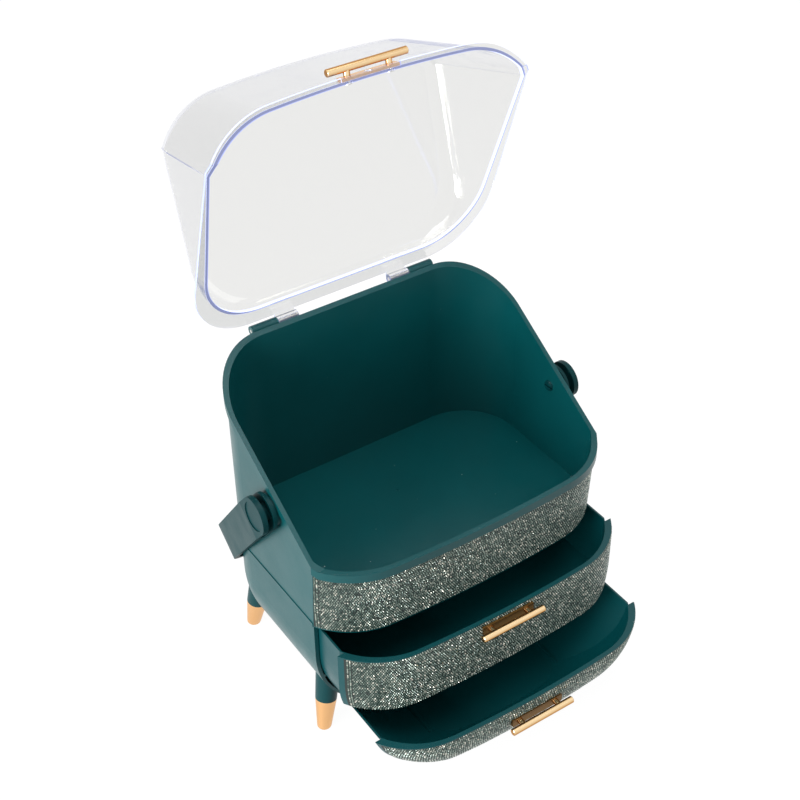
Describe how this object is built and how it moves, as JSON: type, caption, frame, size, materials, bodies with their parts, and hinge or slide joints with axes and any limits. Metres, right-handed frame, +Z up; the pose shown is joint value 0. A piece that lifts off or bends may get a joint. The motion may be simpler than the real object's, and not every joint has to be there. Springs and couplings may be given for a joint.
{
  "type": "makeup organizer",
  "caption": "Portable makeup organizer: open tub with a clear hinged lid and swinging carry handle over a bowl-bottomed casing with bow-fronted drawers on splayed legs.",
  "frame": {"origin": "on the ground under the middle of the whole as it stands", "axes": "+Z up, the drawers open towards -Y, X across"},
  "size_m": [0.3098, 0.3446, 0.5352],
  "materials": {
    "teal_plastic": "satin moulded dark teal",
    "clear_plastic": "clear polished plastic",
    "stones": "rows of small faceted stones",
    "gold": "polished gold plating",
    "screw_steel": "plain zinc"
  },
  "bodies": {
    "base": {"upper_tub": "teal_plastic", "tub_stone_band": "stones", "lower_casing": "teal_plastic", "casing_screws": "screw_steel", "leg_screws": "screw_steel", "left_hinge_pin": "screw_steel", "right_hinge_pin": "screw_steel", "front_left_leg": "teal_plastic", "front_left_leg_tip": "gold", "front_right_leg": "teal_plastic", "front_right_leg_tip": "gold", "back_left_leg": "teal_plastic", "back_left_leg_tip": "gold", "back_right_leg": "teal_plastic", "back_right_leg_tip": "gold"},
    "upper_drawer": {"upper_drawer": "teal_plastic", "upper_drawer_stones": "stones", "upper_drawer_bar": "gold", "upper_drawer_bar_plate": "gold", "upper_drawer_bar_screws": "screw_steel"},
    "lower_drawer": {"lower_drawer": "teal_plastic", "lower_drawer_stones": "stones", "lower_drawer_bar": "gold", "lower_drawer_bar_plate": "gold", "lower_drawer_bar_screws": "screw_steel"},
    "lid": {"lid_shell": "clear_plastic", "lid_bar": "gold", "lid_bar_plate": "gold", "lid_bar_screws": "screw_steel"},
    "handle": {"carry_handle": "teal_plastic", "left_handle_pin": "teal_plastic", "right_handle_pin": "teal_plastic"}
  },
  "joints": [
    {"name": "upper_drawer_slide", "type": "slide", "parent": "base", "child": "upper_drawer", "axis": [0, -1, 0], "range_m": [-0.034, 0.05]},
    {"name": "lower_drawer_slide", "type": "slide", "parent": "base", "child": "lower_drawer", "axis": [0, -1, 0], "range_m": [-0.077, 0.01]},
    {"name": "lid_hinge", "type": "hinge", "parent": "base", "child": "lid", "pos_m": [0, 0.11439, 0.3055], "axis": [1, 0, 0], "range_deg": [0, 103.5]},
    {"name": "handle_pivot", "type": "hinge", "parent": "base", "child": "handle", "pos_m": [0, 0.00564, 0.2213], "axis": [1, 0, 0], "range_deg": [0, 84]}
  ]
}
